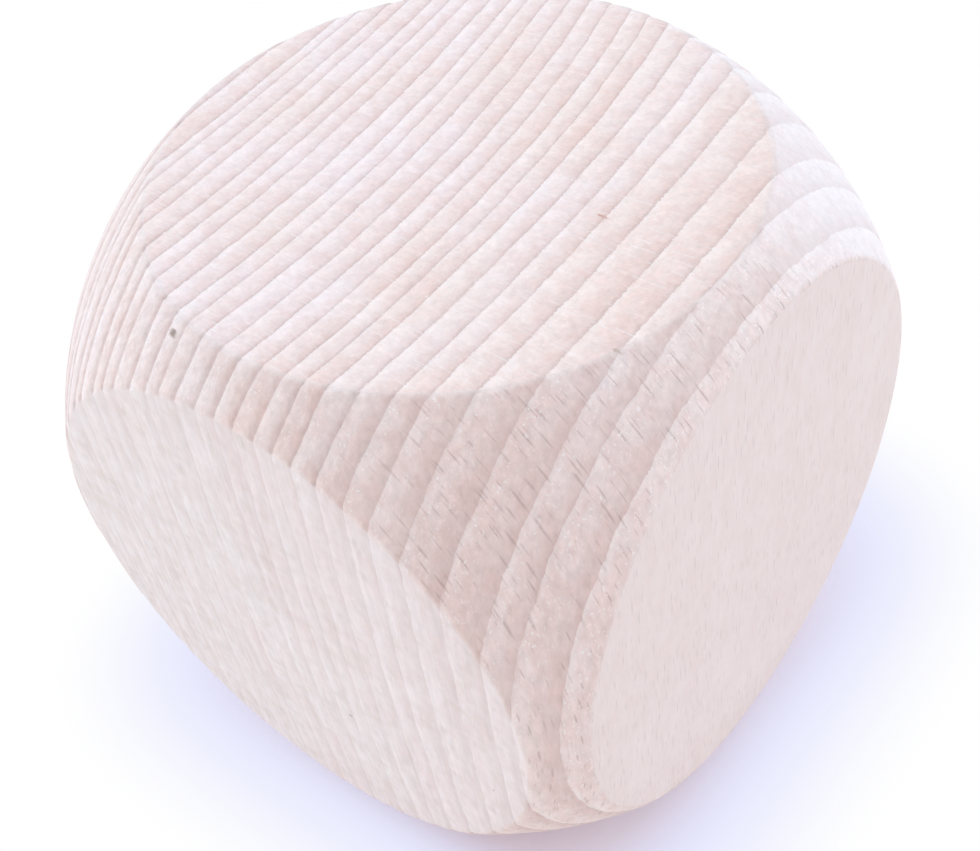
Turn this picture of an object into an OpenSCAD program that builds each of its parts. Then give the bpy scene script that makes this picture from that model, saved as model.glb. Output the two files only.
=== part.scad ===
// Wooden cube: a solid block of beech whose edges and corners are turned to one ball.
// A round flat is left on each of the six sides, with a narrow eased rim where it meets the ball.
// The origin is the middle of the flat that it stands on, and +Z follows the grain of the wood.

/* [Block] */
// Distance between two opposite flats
block_side = 60; // [48:1:76]
// Diameter of the ball that the edges and corners are turned to
ball_d = 80; // [64:1:100]
// Radius of the sanded rim between each flat and the ball
rim_ease = 0.8; // [0.2:0.1:2]

/* [Hidden] */
// Segments in a full circle
$fn = 160;
half_side = block_side / 2;
ball_r = ball_d / 2;

// The round of a rim reaches this far past the ball, so that the two surfaces cross in a clean line
rim_proud = 0.003;
reach_r = ball_r + rim_proud;

// Centre of a rim's round section: its height from the block's middle, and its distance from the flat's axis
ease_z = half_side - rim_ease;
ease_r = sqrt(pow(reach_r - rim_ease, 2) - pow(ease_z, 2));

// Point where that round ends and the straight flank below it begins, as [distance from axis, height]
flank_start = [ease_r, ease_z] * reach_r / (reach_r - rim_ease);
// Widest point of the drum, where its upper and lower flanks meet
waist_r = pow(reach_r, 2) / flank_start.x;

// One pair of opposite flats on the Z axis, with eased rims and flanks that slope away outside the ball
module flat_pair() {
    rotate_extrude() {
        polygon([
            [0, -half_side],
            [ease_r, -half_side],
            [flank_start.x, -flank_start.y],
            [waist_r, 0],
            flank_start,
            [ease_r, half_side],
            [0, half_side]
        ]);
        for (side = [-1, 1])
            translate([ease_r, side * ease_z])
                circle(rim_ease);
    }
}

// The whole block: the ball, bounded by a pair of flats on each axis
module wooden_cube() {
    color("#E8DAD6")
        translate([0, 0, half_side])
            intersection() {
                sphere(d = ball_d);
                flat_pair();
                rotate([90, 0, 0]) flat_pair();
                rotate([0, 90, 0]) flat_pair();
            }
}

wooden_cube();
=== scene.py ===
"""Dresses the wooden cube: a raw beech block whose edges and corners are turned to one ball.

The skin is one mesh that is cut along the growth rings, so that each year's wood stands a little proud at
its end. It carries the year of growth and the place in the grain at every point, and the four finishes of
the wood read their rings, rays and fibres from those.
"""

import logging
import math
from dataclasses import dataclass
from enum import Enum

import bpy
import numpy as np
from mathutils import Matrix, Vector


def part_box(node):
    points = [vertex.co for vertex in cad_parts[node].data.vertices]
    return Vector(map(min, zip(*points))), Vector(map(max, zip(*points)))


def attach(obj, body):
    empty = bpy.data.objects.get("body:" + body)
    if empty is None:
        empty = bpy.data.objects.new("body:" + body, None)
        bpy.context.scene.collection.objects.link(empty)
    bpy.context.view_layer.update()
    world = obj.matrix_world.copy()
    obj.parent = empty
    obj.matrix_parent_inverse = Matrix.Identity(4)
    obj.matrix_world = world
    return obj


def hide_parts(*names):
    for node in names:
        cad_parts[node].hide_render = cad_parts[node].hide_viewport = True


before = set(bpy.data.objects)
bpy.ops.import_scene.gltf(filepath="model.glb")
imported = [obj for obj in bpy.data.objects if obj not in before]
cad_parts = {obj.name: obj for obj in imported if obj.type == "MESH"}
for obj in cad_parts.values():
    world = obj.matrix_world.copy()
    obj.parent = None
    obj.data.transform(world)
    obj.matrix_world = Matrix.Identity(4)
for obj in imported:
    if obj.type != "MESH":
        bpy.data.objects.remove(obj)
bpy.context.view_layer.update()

LOG = logging.getLogger("wooden_cube")
NODE = "wooden_cube"
BODY = "root"
MM = 0.001

Colour = tuple[float, float, float]
Polygon = list[int]
Socket = bpy.types.NodeSocket
Sockets = bpy.types.bpy_prop_collection
Feed = Socket | float | tuple[float, ...]


class Cut(Enum):
    """How a surface meets the grain of the wood. The value is the index of its material."""

    END = 0
    QUARTER = 1
    SLAB = 2
    TURNED = 3


class Axis(Enum):
    """What the axes of the frame are to the tree. The value is the index of the axis."""

    DEPTH = 0
    AROUND = 1
    FIBRE = 2


# Cuts of the flats across X, Y and Z
FLAT_CUTS = (Cut.SLAB, Cut.QUARTER, Cut.END)
WHITE = (1.0, 1.0, 1.0)
# The curve between a screen's colours and light: a straight foot, and a power above it
SCREEN_MOST = 255
SCREEN_FOOT = 0.04045
SCREEN_SLOPE = 12.92
SCREEN_SHIFT = 0.055
SCREEN_POWER = 2.4


def linear(red: float, green: float, blue: float) -> Colour:
    """Turn a colour as a screen shows it into the light that it stands for.

    Args:
        red: Red from 0 to 255.
        green: Green from 0 to 255.
        blue: Blue from 0 to 255.

    Returns:
        The linear colour, each part from 0 to 1.
    """
    lights = []
    for part in (red, green, blue):
        share = part / SCREEN_MOST
        if share <= SCREEN_FOOT:
            lights.append(share / SCREEN_SLOPE)
        else:
            lights.append(((share + SCREEN_SHIFT) / (1 + SCREEN_SHIFT)) ** SCREEN_POWER)
    return tuple(lights)


def hump(share: np.ndarray) -> np.ndarray:
    """Rise from 0 at a share of 0 to 1 halfway, and fall back to 0 at a share of 1."""
    return 4 * share * (1 - share)


def direction(azimuth: float, elevation: float) -> Vector:
    """Give the direction from the block to a place round it.

    Args:
        azimuth: Degrees from the -Y side towards the +X side.
        elevation: Degrees above the floor.

    Returns:
        The direction, one unit long.
    """
    turn = math.radians(azimuth)
    rise = math.radians(elevation)
    level = math.cos(rise)
    return Vector((math.sin(turn) * level, -math.cos(turn) * level, math.sin(rise)))


@dataclass(frozen=True)
class BlockForm:
    """The smooth form of the block, in millimetres from its middle.

    Attributes:
        half_side: Half the distance between two opposite flats.
        ball_r: Radius of the ball that the edges and corners are turned to.
        rim_ease: Radius of the sanded rim between a flat and the ball.
        flat_cells: Cells across a flat, a multiple of two.
        rim_steps: Cells across a rim.
        ball_steps: Cells from a rim to the line halfway to the next side.
    """

    half_side: float
    ball_r: float
    rim_ease: float = 0.8
    flat_cells: int = 36
    rim_steps: int = 4
    ball_steps: int = 6

    # Least length that a direction is divided by, for the middle of a flat
    TINY = 1e-9

    @classmethod
    def from_node(cls, name: str) -> "BlockForm":
        """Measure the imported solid.

        Args:
            name: The node to measure.

        Returns:
            The form with the node's side and ball.
        """
        low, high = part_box(name)
        middle = (low + high) / 2
        reach = max((vertex.co - middle).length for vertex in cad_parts[name].data.vertices)
        return cls(half_side=(high - low).z / 2 / MM, ball_r=reach / MM)

    @property
    def ease_h(self) -> float:
        """Height of the middle of a rim's round section."""
        return self.half_side - self.rim_ease

    @property
    def ease_r(self) -> float:
        """Radius of a flat, and distance of the middle of its rim's round section from its axis."""
        return math.sqrt((self.ball_r - self.rim_ease) ** 2 - self.ease_h**2)

    @property
    def rim_angle(self) -> float:
        """Angle from the flat's axis to the line where its rim meets the ball."""
        return math.atan2(self.ease_r, self.ease_h)

    @property
    def columns(self) -> int:
        """Cells round a rim."""
        return 4 * self.flat_cells

    def flat_points(self) -> np.ndarray:
        """Lay out the points of a flat, as a square net drawn in to a disc.

        Returns:
            An array of rows by columns by three, on the flat that faces +Z.
        """
        steps = np.linspace(-1, 1, self.flat_cells + 1)
        a, b = np.meshgrid(steps, steps, indexing="ij")
        steep = np.abs(b) > np.abs(a)
        reach = np.where(steep, b, a)
        cross = np.where(steep, a, b)
        turn = math.pi / 4 * np.divide(cross, reach, out=np.zeros_like(cross), where=reach != 0)
        angle = np.where(steep, math.pi / 2 - turn, turn)
        radius = reach * self.ease_r
        height = np.full_like(radius, self.half_side)
        return np.stack([radius * np.cos(angle), radius * np.sin(angle), height], axis=-1)

    def band_points(self) -> np.ndarray:
        """Lay out the points of a rim and of the ball beyond it, as far as halfway to the next sides.

        Returns:
            An array of loops by columns by three, round the flat that faces +Z.
        """
        turn = np.arange(self.columns + 1) * (2 * math.pi / self.columns)
        way = np.stack([np.cos(turn), np.sin(turn)], axis=-1)
        loops = []
        for angle in np.linspace(0, self.rim_angle, self.rim_steps + 1):
            radius = self.ease_r + self.rim_ease * math.sin(angle)
            height = self.ease_h + self.rim_ease * math.cos(angle)
            loops.append(np.column_stack([way * radius, np.full(len(turn), height)]))
        halfway = np.arctan(1 / np.abs(way).max(axis=1))
        for share in np.linspace(0, 1, self.ball_steps + 1)[1:]:
            angle = self.rim_angle + (halfway - self.rim_angle) * share
            loops.append(self.ball_r * np.column_stack([way * np.sin(angle)[:, None], np.cos(angle)]))
        return np.stack(loops)

    def seat(self, points: np.ndarray) -> tuple[np.ndarray, np.ndarray, np.ndarray]:
        """Move points onto the smooth surface.

        Args:
            points: Places near the surface, one a row.

        Returns:
            The places on the surface, the outward directions there, and how far each lies across its
            rim, from 0 on the flat to 1 on the ball.
        """
        rows = np.arange(len(points))
        axis = np.abs(points).argmax(axis=1)
        across = points.copy()
        across[rows, axis] = 0
        radius = np.linalg.norm(across, axis=1)
        height = np.abs(points[rows, axis])
        outward = np.zeros_like(points)
        outward[rows, axis] = np.sign(points[rows, axis])
        spread = across / np.maximum(radius, self.TINY)[:, None]
        rim_end = self.ball_r * math.sin(self.rim_angle)
        angle = np.arctan2(radius - self.ease_r, height - self.ease_h)[:, None]
        on_flat = (radius <= self.ease_r)[:, None]
        on_rim = (radius <= rim_end)[:, None] & ~on_flat
        round_way = spread * np.sin(angle) + outward * np.cos(angle)
        round_place = spread * self.ease_r + outward * self.ease_h + round_way * self.rim_ease
        ball_way = points / np.linalg.norm(points, axis=1)[:, None]
        place = np.where(on_flat, across + outward * self.half_side, ball_way * self.ball_r)
        place = np.where(on_rim, round_place, place)
        way = np.where(on_flat, outward, np.where(on_rim, round_way, ball_way))
        over = np.where(on_flat, 0.0, np.where(on_rim, angle / self.rim_angle, 1.0))
        return place, way, over[:, 0]


@dataclass(frozen=True)
class Wave:
    """A slow wave in the growth rings, in millimetres.

    Attributes:
        height: How far it moves the rings.
        lengths: Its lengths across X, Y and Z.
    """

    height: float
    lengths: tuple[float, float, float]

    def at(self, points: np.ndarray) -> np.ndarray:
        """Give how far the wave moves the rings at each point."""
        return self.height * np.sin((points / self.lengths).sum(axis=1) * 2 * math.pi)


@dataclass(frozen=True)
class GrowthRings:
    """The yearly rings of the board, with sizes in millimetres and heights from the flat that it stands on.

    Attributes:
        widths: Width of each ring, from the heart of the tree to its bark.
        start: Depth where the first of them begins, with the block's middle at 0.
        bow_at: Place along a ring where it lies square to the block.
        bow: Curvature of the rings near the bark.
        bow_more: Curvature that is added nearer the heart.
        bow_middle: Depth where that addition is greatest.
        bow_reach: How far to both sides it spreads.
        bow_mean: Mean share of that addition through the block.
        lean: Curvature of the rings along the fibres.
        lean_at: Height where they stand upright.
        top: Height of the end that the depths are measured on.
        waves: The slow waves in the rings.
        steps: Shares of a ring's width at which the skin is cut.
        rise: Height of the wood at those cuts, as a share of the relief.
        least: Relief of the flattest year, as a share of the strongest.
        stride: Share by which one year's relief differs from the next.
    """

    widths: tuple[float, ...] = (
        2.4, 2.6, 2.5, 2.6, 1.2, 2.1, 1.5, 2.3, 1.8, 1.8, 2.3, 2.2, 1.7, 2.0, 2.3,
        2.0, 2.0, 2.1, 1.7, 1.8, 2.2, 2.4, 2.2, 2.7, 3.3, 3.2, 2.2, 2.9, 3.6,
    )
    start: float = -33.0
    bow_at: float = -11.1
    bow: float = 0.0014
    bow_more: float = 0.0053
    bow_middle: float = -3.4
    bow_reach: float = 15.5
    bow_mean: float = 0.68
    lean: float = 0.0015
    lean_at: float = 40.0
    top: float = 60.0
    waves: tuple[Wave, ...] = (
        Wave(0.03, (9.0, 8.3, 23.0)),
        Wave(0.02, (6.2, -5.4, 17.0)),
        Wave(0.03, (-14.0, 14.7, 11.0)),
    )
    steps: tuple[float, ...] = (0.0, 0.05, 0.14, 0.4, 0.7, 0.9)
    rise: tuple[float, ...] = (0.0, 0.35, 0.55, 0.75, 0.95, 1.0)
    least: float = 0.45
    stride: float = 0.618

    @property
    def edges(self) -> np.ndarray:
        """Depths where the rings begin and end."""
        return self.start + np.concatenate([[0], np.cumsum(self.widths)])

    def depth(self, points: np.ndarray) -> np.ndarray:
        """Find how deep points lie in the tree, measured across the rings.

        Args:
            points: Places with the middle of the standing flat at the origin, one a row.

        Returns:
            The depth of each, growing from the heart to the bark.
        """
        x, y, z = points.T
        bow = self.bow + self.bow_more * np.exp(-(((x - self.bow_middle) / self.bow_reach) ** 2))
        along = ((y - self.bow_at) ** 2 - self.bow_at**2) / 2
        upright = (self.top - self.lean_at) ** 2 - (z - self.lean_at) ** 2
        moved = sum(wave.at(points) for wave in self.waves)
        return x + bow * along + self.lean * upright + moved

    def around(self, points: np.ndarray) -> np.ndarray:
        """Find how far points lie round the tree, measured along the rings."""
        x, y, _ = points.T
        return (y - self.bow_at) * np.exp(-(self.bow + self.bow_more * self.bow_mean) * x)

    def cuts(self) -> np.ndarray:
        """Find the depths at which the skin is cut.

        Returns:
            The depths, in rising order.
        """
        edges = self.edges
        steps = np.array(self.steps)
        return np.concatenate([low + (high - low) * steps for low, high in zip(edges, edges[1:])])

    def year(self, depth: np.ndarray) -> np.ndarray:
        """Give the year of growth at each depth, with the share of that year as its fraction."""
        return np.interp(depth, self.edges, np.arange(len(self.widths) + 1))

    def sunk(self, year: np.ndarray) -> np.ndarray:
        """Find how deep the wood lies under the smooth form.

        Args:
            year: Year of growth at each point.

        Returns:
            The depth, from 0 at the end of a year to at most 1 in the groove beside it.
        """
        height = np.interp(year % 1, [*self.steps, 1.0], [*self.rise, 0.0])
        strength = self.least + (1 - self.least) * (np.floor(year) * self.stride % 1)
        return (1 - height) * strength


class RingCutter:
    """Cuts polygons along levels of a value that every point carries."""

    # A point that is nearer a level than this, in millimetres, lies on it
    SNAP = 0.008

    def __init__(self, points: np.ndarray, depths: np.ndarray, levels: np.ndarray) -> None:
        """Take the net to cut.

        Args:
            points: Places of the net, one a row.
            depths: The value at each place.
            levels: Values to cut at, in rising order.
        """
        self.points = [tuple(point) for point in points]
        self.depths = list(depths)
        self.levels = list(levels)
        self.made: dict[tuple[int, int, int], int] = {}

    def side(self, point: int, level: int) -> float:
        """Give how far a point lies past a level, or 0 if it lies on it."""
        past = self.depths[point] - self.levels[level]
        return 0.0 if abs(past) < self.SNAP else past

    def crossing(self, first: int, second: int, level: int) -> int:
        """Find or make the point where an edge crosses a level.

        Args:
            first: One end of the edge.
            second: Its other end.
            level: Index of the level.

        Returns:
            The index of the point, the same for both polygons beside the edge.
        """
        key = (min(first, second), max(first, second), level)
        if key not in self.made:
            low, high = (np.array(self.points[end]) for end in key[:2])
            start, stop = (self.depths[end] for end in key[:2])
            share = (self.levels[level] - start) / (stop - start)
            self.made[key] = len(self.points)
            self.points.append(tuple(low + (high - low) * share))
            self.depths.append(self.levels[level])
        return self.made[key]

    def split(self, polygon: Polygon, level: int) -> tuple[Polygon, Polygon]:
        """Cut one convex polygon at a level.

        Args:
            polygon: Its points in order.
            level: Index of the level.

        Returns:
            The part below the level and the part above it. Either may hold fewer than three points.
        """
        below: Polygon = []
        above: Polygon = []
        for first, second in zip(polygon, polygon[1:] + polygon[:1]):
            here = self.side(first, level)
            there = self.side(second, level)
            if here <= 0:
                below.append(first)
            if here >= 0:
                above.append(first)
            if here * there < 0:
                between = self.crossing(first, second, level)
                below.append(between)
                above.append(between)
        return below, above

    def crossed(self, polygon: Polygon) -> range:
        """Give the levels that cross a polygon."""
        depths = [self.depths[point] for point in polygon]
        return range(*np.searchsorted(self.levels, (min(depths), max(depths))))

    def cut(self, cell: Polygon) -> list[Polygon]:
        """Cut a cell at every level that crosses it, as two triangles so that no level crosses one twice.

        Args:
            cell: Its four corners in order.

        Returns:
            The cell itself if no level crosses it, and its parts otherwise.
        """
        if not self.crossed(cell):
            return [cell]
        parts = []
        for rest in ([cell[0], cell[1], cell[2]], [cell[0], cell[2], cell[3]]):
            for level in self.crossed(rest):
                below, rest = self.split(rest, level)
                parts.append(below)
            parts.append(rest)
        return [part for part in parts if len(part) > 2]


class NodeBoard:
    """Adds nodes to one node tree and links them."""

    # Sockets of a mix's share and two colours, and of its mixed colour
    MIX_INPUTS = (0, 6, 7)
    MIX_RESULT = 2
    # Value about which a noise swings
    NOISE_MIDDLE = 0.5

    def __init__(self, tree: bpy.types.NodeTree) -> None:
        """Take a tree and empty it."""
        self.tree = tree
        tree.nodes.clear()

    def add(self, kind: str, **settings: object) -> bpy.types.Node:
        """Add a node.

        Args:
            kind: Its type.
            settings: Its properties by name.

        Returns:
            The node.
        """
        node = self.tree.nodes.new(kind)
        for name, value in settings.items():
            setattr(node, name, value)
        return node

    def feed(self, socket: Socket, value: Feed) -> None:
        """Link a socket to another, or set its own value.

        Args:
            socket: The input to feed.
            value: Where it comes from, or what it is.
        """
        if isinstance(value, Socket):
            self.tree.links.new(value, socket)
        elif socket.type == "RGBA":
            socket.default_value = (*value, 1.0)
        else:
            socket.default_value = value

    def math(self, operation: str, first: Feed, second: Feed = 0.0, third: Feed = 0.0) -> Socket:
        """Add a sum on values.

        Args:
            operation: Its name.
            first: First value.
            second: Second value, where it has one.
            third: Third value, where it has one.

        Returns:
            The result.
        """
        node = self.add("ShaderNodeMath", operation=operation)
        for socket, value in zip(node.inputs, (first, second, third)):
            self.feed(socket, value)
        return node.outputs[0]

    def vector(self, operation: str, first: Feed, second: Feed) -> bpy.types.Node:
        """Add a sum on vectors.

        Args:
            operation: Its name.
            first: First vector.
            second: Second vector.

        Returns:
            The node, since some sums give a vector and some a value.
        """
        node = self.add("ShaderNodeVectorMath", operation=operation)
        self.feed(node.inputs[0], first)
        self.feed(node.inputs[1], second)
        return node

    def shift(self, place: Feed, way: Feed) -> Socket:
        """Move a place."""
        return self.vector("ADD", place, way).outputs[0]

    def apart(self, place: Feed, other: Feed) -> Socket:
        """Give the way from another place to a place."""
        return self.vector("SUBTRACT", place, other).outputs[0]

    def stretch(self, place: Feed, cell: Feed) -> Socket:
        """Measure a place in cells of a given size."""
        return self.vector("DIVIDE", place, cell).outputs[0]

    def length(self, vector: Feed) -> Socket:
        """Measure how long a vector is."""
        return self.vector("LENGTH", vector, (0.0, 0.0, 0.0)).outputs["Value"]

    def scale(self, vector: Feed, factor: Feed) -> Socket:
        """Multiply a vector or a colour by a value.

        Args:
            vector: The vector or colour.
            factor: The value.

        Returns:
            The result.
        """
        node = self.add("ShaderNodeVectorMath", operation="SCALE")
        self.feed(node.inputs[0], vector)
        self.feed(node.inputs["Scale"], factor)
        return node.outputs[0]

    def combine(self, *parts: Feed) -> Socket:
        """Join values into a vector.

        Args:
            parts: Its parts in the order X, Y and Z. One that is left out is 0.

        Returns:
            The vector.
        """
        node = self.add("ShaderNodeCombineXYZ")
        for socket, part in zip(node.inputs, parts):
            self.feed(socket, part)
        return node.outputs[0]

    def separate(self, vector: Feed) -> Sockets:
        """Take a vector apart.

        Args:
            vector: The vector.

        Returns:
            Its parts X, Y and Z.
        """
        node = self.add("ShaderNodeSeparateXYZ")
        self.feed(node.inputs[0], vector)
        return node.outputs

    def here(self) -> Socket:
        """Give the place on the object, in millimetres."""
        return self.stretch(self.add("ShaderNodeTexCoord").outputs["Object"], (MM, MM, MM))

    def ease(self, value: Feed, start: Feed, stop: Feed, low: Feed = 0.0, high: Feed = 1.0) -> Socket:
        """Turn a value into a smooth step.

        Args:
            value: What is looked at.
            start: Where the step begins.
            stop: Where it ends.
            low: Result before it.
            high: Result after it.

        Returns:
            The result.
        """
        node = self.add("ShaderNodeMapRange", interpolation_type="SMOOTHSTEP")
        for socket, feed in zip(node.inputs, (value, start, stop, low, high)):
            self.feed(socket, feed)
        return node.outputs[0]

    def mix(self, share: Feed, first: Feed, second: Feed, blend: str = "MIX") -> Socket:
        """Mix two colours.

        Args:
            share: How much of the second shows.
            first: First colour.
            second: Second colour.
            blend: How they are mixed.

        Returns:
            The mixed colour.
        """
        node = self.add("ShaderNodeMix", data_type="RGBA", blend_type=blend)
        for index, value in zip(self.MIX_INPUTS, (share, first, second)):
            self.feed(node.inputs[index], value)
        return node.outputs[self.MIX_RESULT]

    def blend(self, share: Feed, first: Socket, second: Socket) -> Socket:
        """Mix two shaders.

        Args:
            share: How much of the second shows.
            first: First shader.
            second: Second shader.

        Returns:
            The mixed shader.
        """
        node = self.add("ShaderNodeMixShader")
        for socket, value in zip(node.inputs, (share, first, second)):
            self.feed(socket, value)
        return node.outputs[0]

    def noise(self, place: Feed, scale: Feed, detail: float = 2.0, roughness: float = 0.5) -> Socket:
        """Add a soft noise.

        Args:
            place: Where it is read.
            scale: Waves in one unit of the place.
            detail: How many finer layers it has.
            roughness: How strong they are.

        Returns:
            Its value, about 0.5 on average.
        """
        node = self.add("ShaderNodeTexNoise")
        inputs = {"Vector": place, "Scale": scale, "Detail": detail, "Roughness": roughness}
        for name, value in inputs.items():
            self.feed(node.inputs[name], value)
        return node.outputs[0]

    def swing(self, place: Feed, detail: float) -> Socket:
        """Add a soft noise that swings to both sides of 0.

        Args:
            place: Where it is read.
            detail: How many finer layers it has.

        Returns:
            Its value.
        """
        return self.math("SUBTRACT", self.noise(place, 1.0, detail), self.NOISE_MIDDLE)

    def attribute(self, name: str) -> bpy.types.Node:
        """Read a value that the skin carries."""
        return self.add("ShaderNodeAttribute", attribute_type="GEOMETRY", attribute_name=name)

    def place(self, group: bpy.types.NodeTree, **inputs: Feed) -> bpy.types.Node:
        """Place a group.

        Args:
            group: The group.
            inputs: Its inputs by name, with _ for a space.

        Returns:
            The node that stands for it.
        """
        node = self.add("ShaderNodeGroup", node_tree=group)
        for name, value in inputs.items():
            self.feed(node.inputs[name.replace("_", " ")], value)
        return node


class GroupBoard(NodeBoard):
    """A node board for one shared group, with named inputs and outputs."""

    def __init__(self, name: str, inputs: dict[str, float], outputs: tuple[str, ...]) -> None:
        """Make the group.

        Args:
            name: Its name.
            inputs: Names and first values of its inputs.
            outputs: Names of its outputs, which are all values.
        """
        super().__init__(bpy.data.node_groups.new(name, "ShaderNodeTree"))
        for title, value in inputs.items():
            socket = self.tree.interface.new_socket(title, in_out="INPUT", socket_type="NodeSocketFloat")
            socket.default_value = value
        for title in outputs:
            self.tree.interface.new_socket(title, in_out="OUTPUT", socket_type="NodeSocketFloat")
        self.source = self.add("NodeGroupInput")
        self.drain = self.add("NodeGroupOutput")

    def taken(self, name: str) -> Socket:
        """Give an input of the group."""
        return self.source.outputs[name]

    def give(self, **values: Feed) -> bpy.types.NodeTree:
        """Feed the outputs of the group.

        Args:
            values: The outputs by name, with _ for a space.

        Returns:
            The finished group.
        """
        for name, value in values.items():
            self.feed(self.drain.inputs[name.replace("_", " ")], value)
        return self.tree


class GrainGroups:
    """The effects of the wood that its finishes share, each built once."""

    # Names of the values that the skin carries
    YEAR = "year"
    GRAIN = "grain"
    # Where the turned wood is painted paler along the rims, as a painted highlight
    RIM_HIGHLIGHT = "rim"
    # Where the rims beside the slab flats take the slab's colour, painted shade included
    SLAB_RIM = "slab_rim"
    FACING = "facing"
    # Share of the painted back light that makes the ball paler towards the far top corner
    PAINTED_BACK_LIGHT = "painted_back_light"
    # How late the wood is at shares of a year
    LATE_STOPS = ((0.0, 0.25), (0.05, 0.05), (0.15, 0.0), (0.5, 0.42), (0.8, 0.88), (1.0, 1.0))
    # Sizes of the wandering, by depth, way round the tree and height, in millimetres
    SWAY_CELL = (3.6, 1.25, 2.5)
    JAG_CELL = (0.6, 0.25, 1.5)
    FADE_CELL = (1.6, 2.6, 6.0)
    CLUMP_CELL = (6.0, 5.0, 9.0)
    SPECK_CELL = (1.0, 1.0, 0.35)
    TINT_CELL = (1.0, 1.7, 2.9)
    BLOT_CELL = (1.0, 1.0, 2.0)
    # Depths between which the board turns warmer
    BARKWARD = (-14.0, 26.0)
    # Step from one noise to another that is unlike it
    APART = (31.3, 17.1, 5.4)
    # Finer layers in a plain, a soft and a rich noise
    PLAIN = 0.0
    SOFT = 1.0
    RICH = 3.0
    # Shares of a year over which its bright edge fades
    EDGE = (0.02, 0.16)
    # Values of a noise between which the line of a year comes out of a faded patch
    PATCH = (0.35, 0.6)
    # The same for the blush, the warm wood and the pale wood
    BLUSHED = (0.38, 0.64)
    WARMED = (0.4, 0.8)
    PALED = (0.4, 0.75)
    # Spread of the rays' own beginnings
    RAY_KINDS = 97.0
    # Least size of a ray and what chance adds to it, as shares of its given size
    RAY_LEAST = 0.3
    RAY_SPREAD = 0.4
    # Share of a ray's size within which it is full
    RAY_CORE = 0.3
    # Value of a noise above which the fewest rays show, what a full share takes off it, and the fade above it
    RAY_LEVEL = 0.7
    RAY_DROP = 0.4
    RAY_FADE = 0.1
    # Waves of noise in the width of a fibre, and how strong its finer layers are
    FIBRE_WAVES = 0.5
    FIBRE_ROUGHNESS = 0.6
    # Rise of a noise over which a speck becomes full
    SPECK_FADE = 0.08
    # Waves of the blush for one of the mottling, and of the pale wood for one of the warm wood
    BLUSH_WAVES = 0.5
    PALE_WAVES = 1.6
    # Waves in a millimetre of a mark's ragged outline, and how far they draw it in, in millimetres
    MARK_WAVES = 4.0
    MARK_RAGGED = 0.4
    # Share of a mark's radius within which it is full
    MARK_CORE = 0.5

    def __init__(self) -> None:
        """Build every group."""
        self.rings = self.build_rings()
        self.rays = self.build_rays()
        self.fibres = self.build_fibres()
        self.tint = self.build_tint()
        self.mark = self.build_mark()

    def build_rings(self) -> bpy.types.NodeTree:
        """Build the growth rings.

        Returns:
            A group that gives how late in its year the wood grew, the line where a year ends, the bright edge
            where the next begins, and a shade for each year.
        """
        sizes = {"Wobble": 0.05, "Jag": 0.03, "Line Width": 0.06, "Fade": 0.5}
        board = GroupBoard("growth_rings", sizes, ("Late", "Line", "Edge", "Shade"))
        grain = board.attribute(self.GRAIN).outputs["Vector"]
        sway = board.swing(board.stretch(grain, self.SWAY_CELL), self.RICH)
        jag = board.swing(board.stretch(grain, self.JAG_CELL), self.SOFT)
        year = board.attribute(self.YEAR).outputs["Fac"]
        year = board.math("MULTIPLY_ADD", sway, board.taken("Wobble"), year)
        year = board.math("MULTIPLY_ADD", jag, board.taken("Jag"), year)
        phase = board.math("FRACT", year)
        ramp = board.add("ShaderNodeValToRGB")
        while len(ramp.color_ramp.elements) < len(self.LATE_STOPS):
            ramp.color_ramp.elements.new(1.0)
        for element, (at, height) in zip(ramp.color_ramp.elements, self.LATE_STOPS):
            element.position = at
            element.color = (height, height, height, 1.0)
        board.feed(ramp.inputs[0], phase)
        line = board.ease(phase, board.math("SUBTRACT", 1.0, board.taken("Line Width")), 1.0)
        patch = board.ease(board.noise(board.stretch(grain, self.FADE_CELL), 1.0), *self.PATCH)
        faded = board.math("MULTIPLY", board.math("SUBTRACT", 1.0, patch), board.taken("Fade"))
        line = board.math("MULTIPLY", line, board.math("SUBTRACT", 1.0, faded))
        edge = board.math("MULTIPLY", board.ease(phase, *self.EDGE, 1.0, 0.0), patch)
        shade = board.add("ShaderNodeTexWhiteNoise", noise_dimensions="1D")
        board.feed(shade.inputs["W"], board.math("FLOOR", year))
        return board.give(Late=ramp.outputs[0], Line=line, Edge=edge, Shade=shade.outputs["Value"])

    def build_rays(self) -> bpy.types.NodeTree:
        """Build the rays, thin sheets that run from the heart to the bark.

        Returns:
            A group that gives where a ray is cut.
        """
        sizes = {
            "Spacing": 1.0,
            "Height": 2.8,
            "Width": 0.2,
            "Length": 2.0,
            "Run": 9.0,
            "Share": 0.4,
            "Clump": 0.2,
        }
        board = GroupBoard("ray_flecks", sizes, ("Fleck",))
        grain = board.attribute(self.GRAIN).outputs["Vector"]
        depth, around, along = board.separate(grain)
        spacing = board.taken("Spacing")
        height = board.taken("Height")
        cell = board.combine(board.math("DIVIDE", around, spacing), board.math("DIVIDE", along, height))
        cells = board.add("ShaderNodeTexVoronoi", feature="F1", voronoi_dimensions="2D")
        board.feed(cells.inputs["Vector"], cell)
        board.feed(cells.inputs["Scale"], 1.0)
        pick = board.add("ShaderNodeSeparateColor")
        board.feed(pick.inputs[0], cells.outputs["Color"])
        kind, chance, _ = pick.outputs
        grown = board.math("MULTIPLY_ADD", chance, self.RAY_SPREAD, self.RAY_LEAST)
        shares = []
        for size, pitch in ((board.taken("Width"), spacing), (board.taken("Length"), height)):
            shares.append(board.math("MULTIPLY", board.math("DIVIDE", size, pitch), grown))
        apart = board.apart(cell, cells.outputs["Position"])
        away = board.length(board.stretch(apart, board.combine(*shares)))
        near = board.ease(away, self.RAY_CORE, 1.0, 1.0, 0.0)
        run = board.math("DIVIDE", depth, board.taken("Run"))
        beginning = board.math("MULTIPLY", kind, self.RAY_KINDS)
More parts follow.
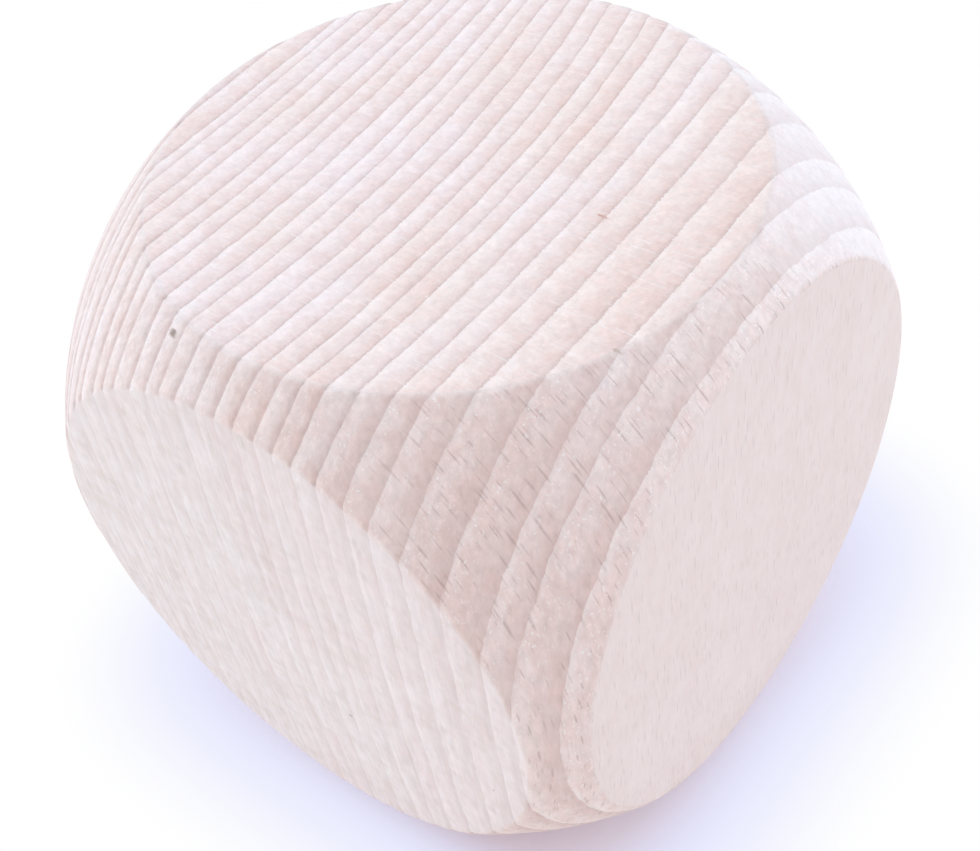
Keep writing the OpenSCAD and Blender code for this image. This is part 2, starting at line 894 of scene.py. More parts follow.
        lives = board.noise(board.combine(run, beginning), 1.0, self.PLAIN)
        clump = board.swing(board.stretch(grain, self.CLUMP_CELL), self.SOFT)
        lives = board.math("MULTIPLY_ADD", clump, board.taken("Clump"), lives)
        least = board.math("MULTIPLY_ADD", board.taken("Share"), -self.RAY_DROP, self.RAY_LEVEL)
        kept = board.ease(lives, least, board.math("ADD", least, self.RAY_FADE))
        return board.give(Fleck=board.math("MULTIPLY", near, kept))

    def build_fibres(self) -> bpy.types.NodeTree:
        """Build the fibres and the specks that the cutter tore up between them.

        Returns:
            A group that gives the grain of the fibres, the mask of the specks, a soft mottling and a blush.
        """
        sizes = {"Width": 0.12, "Length": 1.4, "Specks": 0.62, "Mottle Size": 0.7}
        board = GroupBoard("fibre_grain", sizes, ("Fibre", "Speck", "Mottle", "Blush"))
        grain = board.attribute(self.GRAIN).outputs["Vector"]
        width = board.taken("Width")
        place = board.stretch(grain, board.combine(width, width, board.taken("Length")))
        fibre = board.noise(place, self.FIBRE_WAVES, self.RICH, self.FIBRE_ROUGHNESS)
        elsewhere = board.shift(place, self.APART)
        specks = board.noise(board.stretch(elsewhere, self.SPECK_CELL), 1.0, self.SOFT)
        most = board.math("ADD", board.taken("Specks"), self.SPECK_FADE)
        speck = board.ease(specks, board.taken("Specks"), most)
        blot = board.stretch(grain, self.BLOT_CELL)
        finer = board.math("DIVIDE", 1.0, board.taken("Mottle Size"))
        mottle = board.noise(blot, finer)
        broader = board.math("MULTIPLY", finer, self.BLUSH_WAVES)
        blush = board.ease(board.noise(board.shift(blot, self.APART), broader), *self.BLUSHED)
        return board.give(Fibre=fibre, Speck=speck, Mottle=mottle, Blush=blush)

    def build_tint(self) -> bpy.types.NodeTree:
        """Build the slow change of colour through the board.

        Returns:
            A group that gives a warm share, a pale share and how near the bark the wood is.
        """
        board = GroupBoard("board_tint", {"Size": 9.0, "Bark Warmth": 0.3}, ("Warm", "Pale", "Bark"))
        grain = board.attribute(self.GRAIN).outputs["Vector"]
        depth, _, _ = board.separate(grain)
        finer = board.math("DIVIDE", 1.0, board.taken("Size"))
        place = board.scale(board.stretch(grain, self.TINT_CELL), finer)
        bark = board.ease(depth, *self.BARKWARD)
        barkward = board.math("MULTIPLY", bark, board.taken("Bark Warmth"))
        warm = board.math("ADD", board.noise(place, 1.0, self.RICH), barkward)
        pale = board.noise(board.shift(place, self.APART), self.PALE_WAVES, self.RICH)
        return board.give(Warm=board.ease(warm, *self.WARMED), Pale=board.ease(pale, *self.PALED), Bark=bark)

    def build_mark(self) -> bpy.types.NodeTree:
        """Build one small mark.

        Returns:
            A group that gives its mask round a place in millimetres.
        """
        sizes = {"X": 0.0, "Y": 0.0, "Z": 0.0, "Radius": 0.3, "Stretch": 1.0}
        board = GroupBoard("small_mark", sizes, ("Mark",))
        here = board.here()
        spot = board.combine(board.taken("X"), board.taken("Y"), board.taken("Z"))
        shape = board.combine(board.taken("Stretch"), 1.0, 1.0)
        away = board.length(board.stretch(board.apart(here, spot), shape))
        ragged = board.math("MULTIPLY", board.noise(here, self.MARK_WAVES), self.MARK_RAGGED)
        radius = board.taken("Radius")
        inner = board.math("MULTIPLY", radius, self.MARK_CORE)
        return board.give(Mark=board.ease(board.math("ADD", away, ragged), inner, radius, 1.0, 0.0))


@dataclass(frozen=True)
class Mark:
    """A small mark on the wood, placed in millimetres from the middle of the standing flat.

    Attributes:
        place: Where it is.
        radius: How far it reaches.
        colour: Its colour.
        depth: How deep it is, as a share of the grain's depth.
        stretch: How many times longer it is across X.
    """

    place: tuple[float, float, float]
    radius: float
    colour: Colour
    depth: float = 0.0
    stretch: float = 1.0

    def mask(self, board: NodeBoard, groups: GrainGroups) -> Socket:
        """Place the mark in a material.

        Args:
            board: Where the nodes go.
            groups: The shared effects.

        Returns:
            Where the mark shows.
        """
        x, y, z = self.place
        node = board.place(groups.mark, X=x, Y=y, Z=z, Radius=self.radius, Stretch=self.stretch)
        return node.outputs["Mark"]


@dataclass(frozen=True)
class Rays:
    """One kind of ray, with sizes in millimetres.

    Attributes:
        colour: Colour of the rays.
        share: How strong they are.
        fill: How many of them show.
        cell: Distances between them round the tree and along the fibres.
        size: Width and length of one.
        run: How far they keep on from the heart to the bark.
        turned: Whether they fade towards the flats and where the surface turns away from the bark.
    """

    colour: Colour
    share: float
    fill: float
    cell: tuple[float, float]
    size: tuple[float, float]
    run: float
    turned: bool = False

    # How far a turned surface faces the bark where its rays come in, and where they go again
    FADE_IN = (0.15, 0.5)
    FADE_OUT = (0.74, 0.9)

    def place(self, board: NodeBoard, groups: GrainGroups) -> Socket:
        """Place the rays in a material.

        Args:
            board: Where the nodes go.
            groups: The shared effects.

        Returns:
            Where a ray is cut.
        """
        spacing, height = self.cell
        width, length = self.size
        sizes = {"Spacing": spacing, "Height": height, "Width": width, "Length": length}
        fleck = board.place(groups.rays, Share=self.fill, Run=self.run, **sizes).outputs["Fleck"]
        if not self.turned:
            return fleck
        facing = board.attribute(groups.FACING).outputs["Fac"]
        fleck = board.math("MULTIPLY", fleck, board.ease(facing, *self.FADE_IN))
        return board.math("MULTIPLY", fleck, board.ease(facing, *self.FADE_OUT, 1.0, 0.0))


@dataclass(frozen=True)
class WoodFinish:
    """The look of the beech on one kind of cut.

    Attributes:
        name: Name of the material.
        early: Colour of the wood from the start of a year.
        late: Colour of the wood from its end.
        year_share: How much one year differs from the next.
        warm: Colour that the wood is multiplied by where it is warm.
        broad: The broad rays.
        fine: The fine rays.
        fibre: Width and length of the fibres in millimetres.
        fibre_share: How strong the fibres are.
        mottle_share: How strong the mottling is.
        blush_share: How strong the blush is.
        speck_share: How pale the torn specks are.
        line: Colour of the line where a year ends.
        line_share: How strong that line is.
        line_width: Width of that line, as a share of a ring.
        line_fade: How much of it fades away in patches.
        edge_share: How bright the edge is where a year begins.
        pale_share: How much of the wood is bleached.
        rim_highlight_share: How strong the painted highlight along the rim is.
        slab_rim: Colour that the rims beside the slab flats turn to, where they have one: the slab flats'
            colour, painted shade included.
        barkward: Colour that the wood is multiplied by where it faces the bark, if it differs there: partly
            the side grain's own tone, partly painted shade.
        painted_back_light: Colour that the far corner of the top fades to, if it differs there: painted
            light, paler and bluer as if lit from behind.
        heart_clear: How clear the rings are near the heart, as a share of how clear they are near the bark.
        wobble: How far the rings wander, as a share of a ring.
        jag: How far their edges are jagged, as a share of a ring.
        grain_depth: Depth of the grain in millimetres.
        rough: Roughness in the late wood and in the early wood.
        marks: Marks on this cut.
    """

    name: str
    early: Colour
    late: Colour
    year_share: float
    warm: Colour
    broad: Rays
    fine: Rays
    fibre: tuple[float, float]
    fibre_share: float
    mottle_share: float
    blush_share: float
    speck_share: float
    line: Colour = linear(222, 206, 205)
    line_share: float = 0.0
    line_width: float = 0.1
    line_fade: float = 0.5
    edge_share: float = 0.0
    pale_share: float = 0.1
    rim_highlight_share: float = 0.0
    slab_rim: Colour | None = None
    barkward: Colour | None = None
    painted_back_light: Colour | None = None
    heart_clear: float = 1.0
    wobble: float = 0.15
    jag: float = 0.1
    grain_depth: float = 0.03
    rough: tuple[float, float] = (0.6, 0.7)
    marks: tuple[Mark, ...] = ()

    # Colour of bleached wood, also painted along the rims as a highlight, and colours that odd years and the
    # blush are multiplied by
    PALE = linear(252, 246, 249)
    YEAR_TINT = linear(251, 244, 241)
    BLUSH = linear(251, 243, 241)
    # Shine of bare sanded wood
    SPECULAR = 0.35
    # Depth of a broad ray, as a share of the grain's depth
    RAY_GROOVE = 0.4
    # How strong the painted back light on the far corner is
    PAINTED_BACK_LIGHT_SHARE = 0.32
    # Lateness about which the rings are made fainter
    MIDDLE = 0.5

    def build(self, groups: GrainGroups) -> bpy.types.Material:
        """Make the material.

        Args:
            groups: The shared effects.

        Returns:
            The material.
        """
        material = bpy.data.materials.new(self.name)
        material.use_nodes = True
        board = NodeBoard(material.node_tree)
        width, length = self.fibre
        line = {"Line_Width": self.line_width, "Fade": self.line_fade}
        rings = board.place(groups.rings, Wobble=self.wobble, Jag=self.jag, **line).outputs
        broad = self.broad.place(board, groups)
        fine = self.fine.place(board, groups)
        fibres = board.place(groups.fibres, Width=width, Length=length).outputs
        tint = board.place(groups.tint).outputs
        clear = board.math("MULTIPLY_ADD", tint["Bark"], 1.0 - self.heart_clear, self.heart_clear)
        swing = board.math("SUBTRACT", rings["Late"], self.MIDDLE)
        late = board.math("MULTIPLY_ADD", swing, clear, self.MIDDLE)
        colour = board.mix(late, self.early, self.late)
        colour = board.mix(board.math("MULTIPLY", rings["Line"], self.line_share), colour, self.line)
        odd_year = board.math("MULTIPLY", rings["Shade"], self.year_share)
        colour = board.mix(odd_year, colour, self.YEAR_TINT, "MULTIPLY")
        # The rims beside the slab flats take the slab's colour, painted shade included
        if self.slab_rim:
            colour = board.mix(board.attribute(groups.SLAB_RIM).outputs["Fac"], colour, self.slab_rim)
        # Darker where the wood faces the bark: partly the side grain's own tone, partly painted shade
        if self.barkward:
            facing = board.attribute(groups.FACING).outputs["Fac"]
            colour = board.mix(facing, colour, self.barkward, "MULTIPLY")
        colour = board.mix(tint["Warm"], colour, self.warm, "MULTIPLY")
        blush = board.math("MULTIPLY", fibres["Blush"], self.blush_share)
        colour = board.mix(blush, colour, self.BLUSH, "MULTIPLY")
        colour = board.mix(board.math("MULTIPLY", broad, self.broad.share), colour, self.broad.colour)
        colour = board.mix(board.math("MULTIPLY", fine, self.fine.share), colour, self.fine.colour)
        colour = self.vary(board, colour, fibres["Fibre"], self.fibre_share)
        colour = self.vary(board, colour, fibres["Mottle"], self.mottle_share)
        # Painted light: the ball turns paler and bluer towards the far top corner, as if lit from behind
        if self.painted_back_light:
            far = board.math("MULTIPLY", board.attribute(groups.PAINTED_BACK_LIGHT).outputs["Fac"], self.PAINTED_BACK_LIGHT_SHARE)
            colour = board.mix(far, colour, self.painted_back_light)
        colour = board.mix(self.bleach(board, rings, fibres, tint), colour, self.PALE)
        height = board.math("MULTIPLY_ADD", broad, -self.RAY_GROOVE, fibres["Fibre"])
        for mark in self.marks:
            spot = mark.mask(board, groups)
            colour = board.mix(spot, colour, mark.colour)
            height = board.math("MULTIPLY_ADD", spot, -mark.depth, height)
        self.finish(board, colour, height, rings["Late"])
        return material

    def bleach(self, board: NodeBoard, rings: Sockets, fibres: Sockets, tint: Sockets) -> Socket:
        """Find where the wood is pale: in patches, on torn specks, at the start of a year, and along the rims
        as a painted highlight.

        Args:
            board: Where the nodes go.
            rings: Outputs of the rings.
            fibres: Outputs of the fibres.
            tint: Outputs of the board's tint.

        Returns:
            How pale it is.
        """
        early = board.math("SUBTRACT", 1.0, rings["Late"])
        specks = board.math("MULTIPLY", fibres["Speck"], early)
        # A painted highlight along the rims, broken up by the mottling
        rim_highlight = board.math("MULTIPLY", board.attribute(GrainGroups.RIM_HIGHLIGHT).outputs["Fac"], fibres["Mottle"])
        most = board.math("MULTIPLY", tint["Pale"], self.pale_share)
        masks = (specks, rings["Edge"], rim_highlight)
        for mask, share in zip(masks, (self.speck_share, self.edge_share, self.rim_highlight_share)):
            most = board.math("MAXIMUM", most, board.math("MULTIPLY", mask, share))
        return most

    @staticmethod
    def vary(board: NodeBoard, colour: Feed, noise: Feed, share: float) -> Socket:
        """Make a colour lighter and darker with a noise.

        Args:
            board: Where the nodes go.
            colour: The colour.
            noise: The noise, about 0.5 on average.
            share: How strong it is.

        Returns:
            The result.
        """
        return board.scale(colour, board.math("MULTIPLY_ADD", noise, share, 1.0 - share / 2))

    def finish(self, board: NodeBoard, colour: Feed, height: Feed, late: Feed) -> None:
        """Add the shader.

        Args:
            board: Where the nodes go.
            colour: Colour of the wood.
            height: Height of its grain.
            late: How late in the year the wood grew.
        """
        bump = board.add("ShaderNodeBump")
        bump.inputs["Distance"].default_value = self.grain_depth * MM
        board.feed(bump.inputs["Height"], height)
        shader = board.add("ShaderNodeBsdfPrincipled")
        shader.inputs["Specular IOR Level"].default_value = self.SPECULAR
        board.feed(shader.inputs["Base Color"], colour)
        late_rough, early_rough = self.rough
        board.feed(shader.inputs["Roughness"], board.ease(late, 0.0, 1.0, early_rough, late_rough))
        board.feed(shader.inputs["Normal"], bump.outputs["Normal"])
        output = board.add("ShaderNodeOutputMaterial")
        board.feed(output.inputs["Surface"], shader.outputs["BSDF"])


# Painted light: these colours are paler than the side-grain cuts', standing partly for the stronger light on
# the top from above
END_GRAIN = WoodFinish(
    name="beech_end_grain",
    early=linear(251, 238, 241),
    late=linear(238, 218.5, 220.5),
    line=linear(211, 191, 192),
    line_share=0.6,
    line_width=0.15,
    line_fade=0.4,
    edge_share=0.35,
    year_share=0.6,
    warm=linear(253, 248, 242),
    broad=Rays(linear(250, 243, 246), 0.32, 0.5, cell=(0.8, 2.8), size=(0.16, 2.4), run=1.3),
    fine=Rays(linear(249, 242, 245), 0.3, 0.55, cell=(0.35, 1.8), size=(0.1, 1.6), run=0.8),
    fibre=(0.2, 1.4),
    fibre_share=0.22,
    mottle_share=0.24,
    blush_share=0.6,
    speck_share=0.45,
    wobble=0.1,
    jag=0.1,
    marks=(
        Mark((14.4, 0.85, 60.0), 0.42, linear(206, 160, 152), stretch=3.2),
        Mark((23.9, -11.1, 60.0), 0.5, linear(202, 182, 172), stretch=2.6),
    ),
)

QUARTER_GRAIN = WoodFinish(
    name="beech_quarter_grain",
    early=linear(242, 234, 238),
    late=linear(232, 222, 225),
    line=linear(222, 210, 212),
    line_share=0.25,
    line_width=0.22,
    line_fade=0.9,
    edge_share=0.22,
    year_share=0.25,
    warm=linear(254, 250, 250),
    broad=Rays(linear(226, 212, 208), 0.4, 0.55, cell=(0.9, 2.4), size=(0.7, 2.0), run=1.4),
    fine=Rays(linear(224, 210, 207), 0.4, 0.5, cell=(0.35, 1.6), size=(0.3, 1.4), run=0.7),
    fibre=(0.3, 4.0),
    fibre_share=0.26,
    mottle_share=0.18,
    blush_share=0.5,
    speck_share=0.35,
    heart_clear=0.35,
    wobble=0.16,
    jag=0.12,
    marks=(
        Mark((5.2, -30.0, 19.5), 0.5, linear(190, 165, 155)),
        Mark((21.9, -30.0, 22.4), 0.4, linear(190, 165, 155)),
    ),
)

# Its colours are darker than the quarter grain's: partly the slab cut's own tone, partly painted shade on the
# flats across X
SLAB_GRAIN = WoodFinish(
    name="beech_slab_grain",
    early=linear(234, 220, 225),
    late=linear(232, 217, 220),
    year_share=0.1,
    warm=linear(253, 248, 243),
    broad=Rays(linear(204, 185, 184), 0.5, 0.55, cell=(0.8, 2.2), size=(0.17, 1.9), run=9.0),
    fine=Rays(linear(210, 193, 192), 0.4, 0.6, cell=(0.4, 1.5), size=(0.12, 1.4), run=4.0),
    fibre=(0.14, 3.0),
    fibre_share=0.08,
    mottle_share=0.05,
    blush_share=0.3,
    speck_share=0.1,
    grain_depth=0.02,
)

TURNED_GRAIN = WoodFinish(
    name="beech_turned_grain",
    early=linear(243, 232, 235),
    late=linear(229, 213, 214),
    line=linear(214, 194, 195),
    line_share=0.3,
    line_width=0.2,
    line_fade=0.6,
    edge_share=0.25,
    year_share=0.5,
    warm=linear(253, 248, 244),
    broad=Rays(linear(178, 153, 151), 0.5, 0.62, cell=(1.1, 2.2), size=(0.18, 1.9), run=2.6, turned=True),
    fine=Rays(linear(188, 165, 163), 0.4, 0.6, cell=(0.6, 1.5), size=(0.13, 1.3), run=1.8, turned=True),
    fibre=(0.22, 1.2),
    fibre_share=0.34,
    mottle_share=0.24,
    blush_share=0.7,
    speck_share=0.6,
    # Strength of the painted highlight along the rims
    rim_highlight_share=0.45,
    # The slab flats' colour, painted shade included, carried over the rims beside them
    slab_rim=linear(232, 220, 222),
    # Partly the side grain's own tone, partly painted shade where the ball faces the bark
    barkward=linear(253.5, 249, 250),
    # Painted back light on the far top corner of the ball
    painted_back_light=linear(244, 242, 255),
    wobble=0.12,
    jag=0.05,
    grain_depth=0.04,
    marks=(
        # A pin hole: its dark colour is painted shade in the pit, over only a shallow dent in the bump
        Mark((-7.4, -26.5, 59.0), 0.68, linear(165, 148, 142), 0.8, stretch=1.4),
        Mark((23.9, -11.1, 60.0), 0.5, linear(202, 182, 172), stretch=2.6),
    ),
)


@dataclass
class WoodenCube:
    """The block itself.

    Attributes:
        form: Its smooth form.
        rings: Its growth rings.
        end_relief: Height of the late wood over the groove beside it on the end grain, in millimetres.
        side_relief: The same on the flats that cut across the rings.
        ball_relief: The same on the ball.
        rim_relief: What is added to it halfway over a rim.
        heart_rays: How clear the rays are on the heart's side, as a share of the bark's side.
        ray_back: Outward shares of Y between which the rays grow as faint.
        ray_under: Outward shares of Z between which they clear again.
    """

    form: BlockForm
    rings: GrowthRings
    end_relief: float = 0.08
    side_relief: float = 0.02
    ball_relief: float = 0.15
    rim_relief: float = 0.12
    heart_rays: float = 0.35
    ray_back: tuple[float, float] = (-0.2, 0.25)
    ray_under: tuple[float, float] = (-0.5, -0.15)

    # Decimals of a millimetre to which points that two sheets share agree
    SHARED_DECIMALS = 5

    def net(self) -> tuple[np.ndarray, list[Polygon], list[Cut]]:
        """Lay a net of cells over the smooth form.

        Returns:
            Its points from the block's middle, its cells, and the cut that each belongs to.
        """
        sheets = []
        for axis in range(3):
            for way in (1, -1):
                sheets.append((self.turn(self.form.flat_points(), axis, way), FLAT_CUTS[axis]))
                sheets.append((self.turn(self.form.band_points(), axis, way), Cut.TURNED))
        points = np.concatenate([sheet.reshape(-1, 3) for sheet, _ in sheets])
        rounded = points.round(self.SHARED_DECIMALS)
        _, first, shared = np.unique(rounded, axis=0, return_index=True, return_inverse=True)
        shared = shared.reshape(-1)
        cells: list[Polygon] = []
        cuts: list[Cut] = []
        base = 0
        for sheet, cut in sheets:
            rows, columns = sheet.shape[:2]
            index = shared[base:base + rows * columns].reshape(rows, columns)
            base += rows * columns
            for corners in zip(*(part.ravel() for part in self.corners(index))):
                cells.append([int(corner) for corner in corners])
                cuts.append(cut)
        return points[first], cells, cuts

    @staticmethod
    def corners(index: np.ndarray) -> tuple[np.ndarray, ...]:
        """Give the four corners of every cell of a sheet, in order round the cell."""
        return index[:-1, :-1], index[1:, :-1], index[1:, 1:], index[:-1, 1:]

    @staticmethod
    def turn(points: np.ndarray, axis: int, way: int) -> np.ndarray:
        """Turn points from the side that faces +Z to another side.

        Args:
            points: Places round +Z.
            axis: Axis of the other side.
            way: 1 for its positive end, -1 for its negative end.

        Returns:
            The turned places.
        """
        turned = np.empty_like(points)
        turned[..., axis] = points[..., 2] * way
        turned[..., (axis + 1) % 3] = points[..., 0]
        turned[..., (axis + 2) % 3] = points[..., 1] * way
        return turned

    def skin(self) -> bpy.types.Object:
        """Build the skin of the block, cut along its rings and raised in relief.

        Returns:
            The object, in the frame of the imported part.
        """
        base = np.array([0, 0, self.form.half_side])
        points, cells, cuts = self.net()
        cutter = RingCutter(points, self.rings.depth(points + base), self.rings.cuts())
        polygons: list[Polygon] = []
        indices: list[int] = []
        for cell, cut in zip(cells, cuts):
            parts = cutter.cut(cell)
            polygons.extend(parts)
            indices.extend([cut.value] * len(parts))
        place, outward, over = self.form.seat(np.array(cutter.points))
        year = self.rings.year(np.array(cutter.depths))
        sunk = self.relief(outward, over) * self.rings.sunk(year)
        skin = (place - outward * sunk[:, None] + base) * MM
        mesh = bpy.data.meshes.new(NODE)
        mesh.from_pydata(skin.tolist(), [], polygons)
        mesh.polygons.foreach_set("material_index", indices)
        mesh.polygons.foreach_set("use_smooth", [True] * len(polygons))
        grain = np.column_stack([cutter.depths, self.rings.around(place + base), place[:, 2]])
        self.carry(mesh, GrainGroups.YEAR, year)
        self.carry(mesh, GrainGroups.GRAIN, grain)
        on_slab = np.abs(place).argmax(axis=1) == Axis.DEPTH.value
        # Where the painted highlight goes along the rims of the turned wood
        self.carry(mesh, GrainGroups.RIM_HIGHLIGHT, (1 - over) * ~on_slab)
        # Where the rims beside the slab flats take the slab's colour, painted shade included
        self.carry(mesh, GrainGroups.SLAB_RIM, (1 - over) * on_slab)
        self.carry(mesh, GrainGroups.FACING, self.ray_facing(outward))
        # Share of the painted back light on the far corner
        self.carry(mesh, GrainGroups.PAINTED_BACK_LIGHT, self.painted_back_light(outward))
        mesh.validate()
        block = bpy.data.objects.new("beech_block", mesh)
        bpy.context.scene.collection.objects.link(block)
        return block

    def ray_facing(self, outward: np.ndarray) -> np.ndarray:
        """Find how squarely the surface cuts the rays where they stay clear.

        Args:
            outward: Outward directions.

        Returns:
            How far each point faces the bark, less where the cut runs round to the back or under the block.
        """
        barkward = outward[:, Axis.DEPTH.value]
        facing = np.maximum(barkward, -self.heart_rays * barkward)
        back = np.interp(outward[:, Axis.AROUND.value], self.ray_back, (1.0, self.heart_rays))
        under = np.interp(outward[:, Axis.FIBRE.value], self.ray_under, (self.heart_rays, 1.0))
        return facing * back * under

    @staticmethod
    def painted_back_light(outward: np.ndarray) -> np.ndarray:
        """Find how squarely the surface faces the corner between +X, +Y and +Z, where the turned wood takes
        painted back light.

        Args:
            outward: Outward directions.

        Returns:
            A share that is 1 at that corner and 0 on the flats.
        """
        at_corner = math.sqrt(1 / 3) ** 3
        return np.maximum(outward, 0).prod(axis=1) / at_corner

    def relief(self, outward: np.ndarray, over: np.ndarray) -> np.ndarray:
        """Find how high the relief of the rings is.

        Args:
            outward: Outward directions.
            over: How far across its rim each point lies, from 0 on the flat to 1 on the ball.

        Returns:
            The height of the relief at each point, in millimetres.
        """
        facing = np.abs(outward)
        flats = np.array([0.0, self.side_relief, self.end_relief])
        flat = flats[facing.argmax(axis=1)]
        tilt = np.sqrt(1 - np.minimum(facing[:, Axis.DEPTH.value], 1) ** 2)
        rim = self.rim_relief * hump(over)
        return flat * (1 - over) + self.ball_relief * tilt * over + rim * tilt

    @staticmethod
    def carry(mesh: bpy.types.Mesh, name: str, values: np.ndarray) -> None:
        """Let a mesh carry a value at each point.

        Args:
            mesh: The mesh.
            name: Name of the value.
            values: One number or one vector for each point.
        """
        kind, field = ("FLOAT", "value") if values.ndim == 1 else ("FLOAT_VECTOR", "vector")
        mesh.attributes.new(name, kind, "POINT").data.foreach_set(field, values.astype(np.float32).ravel())

    @staticmethod
    def dress(block: bpy.types.Object, groups: GrainGroups) -> None:
        """Give the block its finishes, in the order of the cuts.

        Args:
            block: The block.
            groups: The shared effects.
        """
        for finish in (END_GRAIN, QUARTER_GRAIN, SLAB_GRAIN, TURNED_GRAIN):
            block.data.materials.append(finish.build(groups))

    def build(self) -> bpy.types.Object:
        """Build the block and dress it.

        Returns:
            The block, riding on its body.
        """
        block = self.skin()
        self.dress(block, GrainGroups())
        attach(block, BODY)
        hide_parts(NODE)
        return block


@dataclass(frozen=True)
class PhotoCamera:
    """The camera, at the viewing angle of the photograph.

    Attributes:
        azimuth: Degrees from the -Y side towards the +X side.
        elevation: Degrees above the floor.
        roll: Degrees that the picture is turned.
        tilt: Degrees that it looks above the block's middle.
        pan: Degrees that it looks beside it.
        distance: Millimetres from the block's middle.
        lens: Focal length in millimetres.
        nearest: Millimetres to the nearest thing that it sees.
    """

    azimuth: float = 43.09
    elevation: float = 46.55
    roll: float = 8.47
    tilt: float = 0.544
    pan: float = -0.092
    distance: float = 153.64
    lens: float = 57.95
    nearest: float = 10.0

    def build(self, middle: Vector) -> bpy.types.Object:
        """Place the camera.

        Args:
            middle: The block's middle.

        Returns:
            The camera.
        """
        back = direction(self.azimuth, self.elevation)
        side = Vector((0, 0, 1)).cross(back).normalized()
        look = Matrix((side, back.cross(side), back)).transposed().to_4x4()
        for angle, axis in ((self.tilt, "X"), (self.pan, "Y"), (self.roll, "Z")):
            look = look @ Matrix.Rotation(-math.radians(angle), 4, axis)
        data = bpy.data.cameras.new("photo_camera")
        data.lens = self.lens
        data.clip_start = self.nearest * MM
        camera = bpy.data.objects.new("photo_camera", data)
        camera.matrix_world = Matrix.Translation(middle + back * self.distance * MM) @ look
        bpy.context.scene.collection.objects.link(camera)
        bpy.context.scene.camera = camera
        return camera


@dataclass(frozen=True)
class Softbox:
    """A large square lamp that looks at the block.

    Attributes:
        name: Its name.
        azimuth: Degrees from the -Y side towards the +X side.
        elevation: Degrees above the floor.
        level: Light that it brings to a white surface facing it.
        colour: Its colour.
        distance: Millimetres from the block's middle.
        side: Side of the square in millimetres.
    """

    name: str
    azimuth: float
    elevation: float
    level: float
    colour: Colour
    distance: float = 600.0
    side: float = 500.0

    def build(self, middle: Vector) -> bpy.types.Object:
        """Hang the lamp.

        Args:
            middle: Where it looks.

        Returns:
            The lamp.
        """
        back = direction(self.azimuth, self.elevation)
        data = bpy.data.lights.new(self.name, "AREA")
        data.size = self.side * MM
        data.color = self.colour
        data.energy = self.level * (math.pi * self.distance * MM) ** 2
        lamp = bpy.data.objects.new(self.name, data)
        look = back.to_track_quat("Z", "Y").to_matrix().to_4x4()
        lamp.matrix_world = Matrix.Translation(middle + back * self.distance * MM) @ look
        lamp.visible_camera = False
        bpy.context.scene.collection.objects.link(lamp)
        return lamp


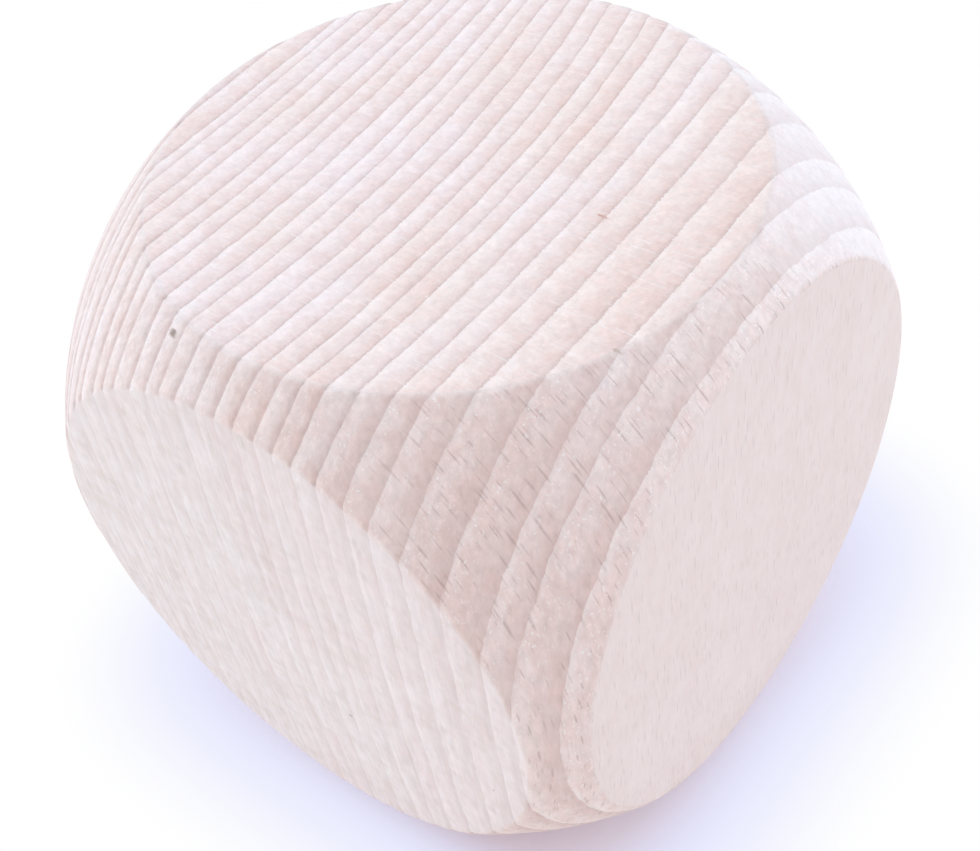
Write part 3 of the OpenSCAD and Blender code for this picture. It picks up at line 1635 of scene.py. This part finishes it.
@dataclass(frozen=True)
class Studio:
    """A pale floor under plain soft light.

    Attributes:
        floor_r: Radius of the floor in millimetres.
        floor_sides: Sides of its outline.
        floor_gap: How far it lies under the block, in millimetres.
        floor_colour: Colour of the floor.
        bounce_colour: Colour of the light that it throws back.
        painted_shadow_colour: Colour of the bluish painted shadow, a glow on the floor near the block.
        painted_shadow_at: Middle of the painted shadow on the floor, in millimetres.
        painted_shadow_reach: Distances from there between which the painted shadow covers the floor, in
            millimetres.
        painted_shadow_fade: Distances from there between which the painted shadow turns to plain white, in
            millimetres.
        level: Light that comes from all round.
        lamps: The lamps.
    """

    floor_r: float = 3000.0
    floor_sides: int = 64
    floor_gap: float = 0.02
    floor_colour: Colour = linear(237, 229, 243)
    bounce_colour: Colour = linear(255, 251, 246)
    painted_shadow_colour: Colour = (0.75, 0.76, 0.98)
    painted_shadow_at: tuple[float, float, float] = (1.0, 1.0, 0.0)
    painted_shadow_reach: tuple[float, float] = (26.0, 33.0)
    painted_shadow_fade: tuple[float, float] = (26.0, 46.0)
    level: float = 0.79
    lamps: tuple[Softbox, ...] = (
        Softbox("left_softbox", -66.0, 20.0, 0.345, (0.86, 1.0, 1.06)),
        Softbox("back_softbox", -115.0, 20.0, 0.13, (0.45, 1.0, 1.25)),
        Softbox("right_softbox", 140.0, 28.0, 0.38, (0.72, 1.0, 1.15)),
    )

    def build(self, middle: Vector) -> bpy.types.Object:
        """Lay the floor and set the light.

        Args:
            middle: The block's middle.

        Returns:
            The floor.
        """
        bpy.context.scene.view_settings.view_transform = "Standard"
        self.build_world()
        for lamp in self.lamps:
            lamp.build(middle)
        return self.build_floor()

    def build_floor(self) -> bpy.types.Object:
        """Lay the floor just under the block.

        Returns:
            The floor.
        """
        turns = [2 * math.pi * side / self.floor_sides for side in range(self.floor_sides)]
        reach = self.floor_r * MM
        height = -self.floor_gap * MM
        ring = [(reach * math.cos(turn), reach * math.sin(turn), height) for turn in turns]
        mesh = bpy.data.meshes.new("floor")
        mesh.from_pydata(ring, [], [list(range(self.floor_sides))])
        mesh.materials.append(self.floor_material())
        floor = bpy.data.objects.new("floor", mesh)
        bpy.context.scene.collection.objects.link(floor)
        return floor

    def floor_material(self) -> bpy.types.Material:
        """Make the floor's material, which holds the real shadow near the block under a glowing painted
        shadow, and is white further off.

        Returns:
            The material.
        """
        material = bpy.data.materials.new("floor")
        material.use_nodes = True
        board = NodeBoard(material.node_tree)
        away = self.square_distance(board, board.apart(board.here(), self.painted_shadow_at))
        # How far the painted shadow has turned to white, and how much of the floor it covers
        far = board.ease(away, *self.painted_shadow_fade)
        painted_shadow = board.ease(away, *self.painted_shadow_reach)
        seen = self.seen(board)
        matt = board.add("ShaderNodeBsdfDiffuse")
        board.feed(matt.inputs["Color"], board.mix(seen, self.bounce_colour, self.floor_colour))
        # A glow for the camera: a bluish painted shadow near the block, plain white further off
        white = board.add("ShaderNodeEmission")
        board.feed(white.inputs["Color"], board.mix(far, self.painted_shadow_colour, WHITE))
        mixed = board.blend(board.math("MULTIPLY", painted_shadow, seen), matt.outputs[0], white.outputs[0])
        board.feed(board.add("ShaderNodeOutputMaterial").inputs["Surface"], mixed)
        return material

    @staticmethod
    def square_distance(board: NodeBoard, place: Feed) -> Socket:
        """Measure how far a place on the floor lies from the middle, the same all round a rounded square.

        Args:
            board: Where the nodes go.
            place: The place.

        Returns:
            The fourth root of the summed fourth powers of its parts.
        """
        squares = board.vector("MULTIPLY", place, place).outputs[0]
        return board.math("SQRT", board.length(squares))

    @staticmethod
    def seen(board: NodeBoard) -> Socket:
        """Tell the rays that see the background from those that gather light.

        Args:
            board: Where the nodes go.

        Returns:
            1 for a ray that sees it, and 0 for one that gathers light.
        """
        path = board.add("ShaderNodeLightPath").outputs
        mirror = board.math("MAXIMUM", path["Is Glossy Ray"], path["Is Transmission Ray"])
        return board.math("MAXIMUM", path["Is Camera Ray"], mirror)

    def build_world(self) -> None:
        """Set the light all round behind a white background."""
        world = bpy.data.worlds.new("soft_light")
        world.use_nodes = True
        bpy.context.scene.world = world
        board = NodeBoard(world.node_tree)
        light = board.add("ShaderNodeBackground")
        board.feed(light.inputs["Color"], WHITE)
        board.feed(light.inputs["Strength"], self.level)
        white = board.add("ShaderNodeBackground")
        board.feed(white.inputs["Color"], WHITE)
        mixed = board.blend(self.seen(board), light.outputs[0], white.outputs[0])
        board.feed(board.add("ShaderNodeOutputWorld").inputs["Surface"], mixed)


def main() -> None:
    """Build the studio, the camera and the block, and report each."""
    logging.basicConfig(level=logging.INFO, format="%(name)s: %(message)s")
    form = BlockForm.from_node(NODE)
    middle = Vector((0, 0, form.half_side * MM))
    floor = Studio().build(middle)
    LOG.info("%s laid, %d sides", floor.name, len(floor.data.vertices))
    camera = PhotoCamera().build(middle)
    LOG.info("%s placed, %.2f mm lens", camera.name, camera.data.lens)
    block = WoodenCube(form, GrowthRings()).build()
    block.data.calc_loop_triangles()
    LOG.info("%s built, %d triangles", block.name, len(block.data.loop_triangles))


if __name__ == "__main__":
    main()
